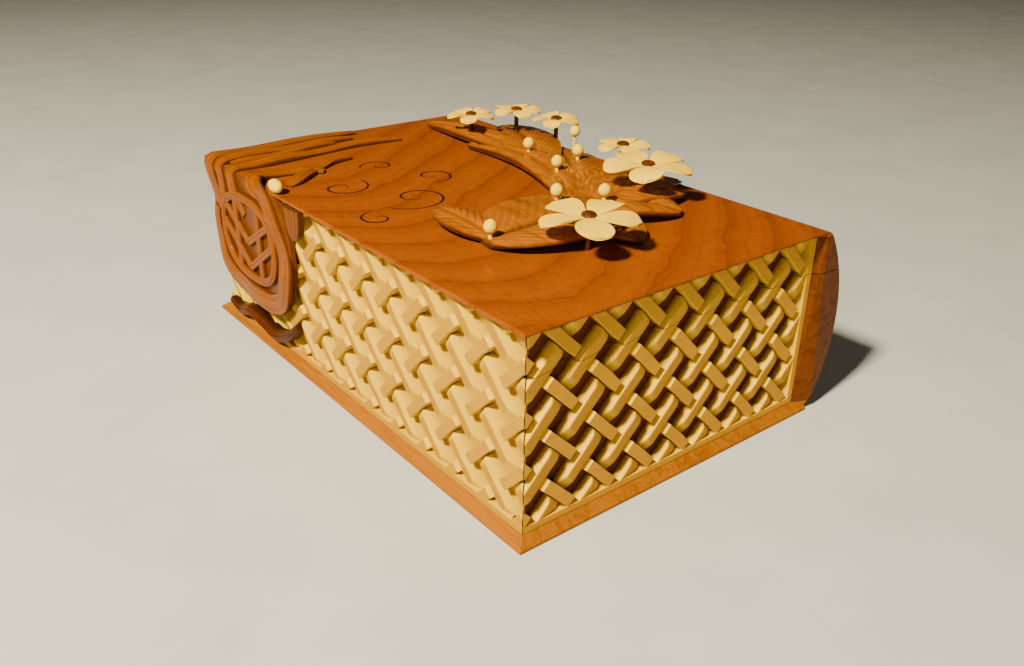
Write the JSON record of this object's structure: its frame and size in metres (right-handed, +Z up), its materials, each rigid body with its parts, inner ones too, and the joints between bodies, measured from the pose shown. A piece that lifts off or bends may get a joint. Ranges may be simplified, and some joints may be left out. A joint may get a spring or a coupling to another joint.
{
  "type": "book box",
  "caption": "Carved wooden box in the form of a closed book, with basket-weave sides, a rounded spine, a hinged lid, a floral spray on top and a carved clasp.",
  "frame": {"origin": "on the underside of the bottom board, in the middle of the top board's length and of its width up to the root of the spine", "axes": "+Z up; +X from the fore-edge to the spine; +Y from the head to the tail, the longest side"},
  "size_m": [0.1472, 0.2146, 0.0853],
  "materials": {
    "walnut": "satin",
    "walnut_carving": "gloss",
    "pale_wood": "matte",
    "petal_wood": "satin",
    "dark_wood": "satin",
    "brass": "satin"
  },
  "bodies": {
    "box_body": {"bottom_board": "walnut", "head_wall": "pale_wood", "tail_wall": "pale_wood", "fore_edge_wall": "pale_wood", "back_wall": "pale_wood", "spine_lower": "walnut", "clasp_scroll": "walnut_carving", "hinge_leaf_lower_1": "brass", "hinge_leaf_lower_2": "brass", "hinge_pin_1": "brass", "hinge_pin_2": "brass", "hinge_screw_lower_1": "brass", "hinge_screw_lower_2": "brass", "hinge_screw_lower_3": "brass", "hinge_screw_lower_4": "brass"},
    "lid": {"top_board": "walnut", "head_rim": "pale_wood", "tail_rim": "pale_wood", "fore_edge_rim": "pale_wood", "back_rim": "pale_wood", "spine_upper": "walnut", "clasp_plate": "walnut_carving", "strapwork": "walnut_carving", "edge_bead": "petal_wood", "leaf_wreath": "walnut_carving", "blossom_1": "petal_wood", "blossom_2": "petal_wood", "blossom_3": "petal_wood", "blossom_4": "petal_wood", "blossom_5": "petal_wood", "blossom_6": "petal_wood", "blossom_pin_1": "dark_wood", "blossom_pin_2": "dark_wood", "blossom_pin_3": "dark_wood", "blossom_pin_4": "dark_wood", "blossom_pin_5": "dark_wood", "blossom_pin_6": "dark_wood", "berry_1": "petal_wood", "berry_2": "petal_wood", "berry_3": "petal_wood", "berry_4": "petal_wood", "berry_5": "petal_wood", "berry_6": "petal_wood", "berry_7": "petal_wood", "hinge_leaf_upper_1": "brass", "hinge_leaf_upper_2": "brass", "hinge_screw_upper_1": "brass", "hinge_screw_upper_2": "brass", "hinge_screw_upper_3": "brass", "hinge_screw_upper_4": "brass"}
  },
  "joints": [
    {"name": "lid_hinge", "type": "hinge", "parent": "box_body", "child": "lid", "pos_m": [0.07636, 0, 0.05415], "axis": [0, 1, 0], "range_deg": [0, 95]}
  ]
}
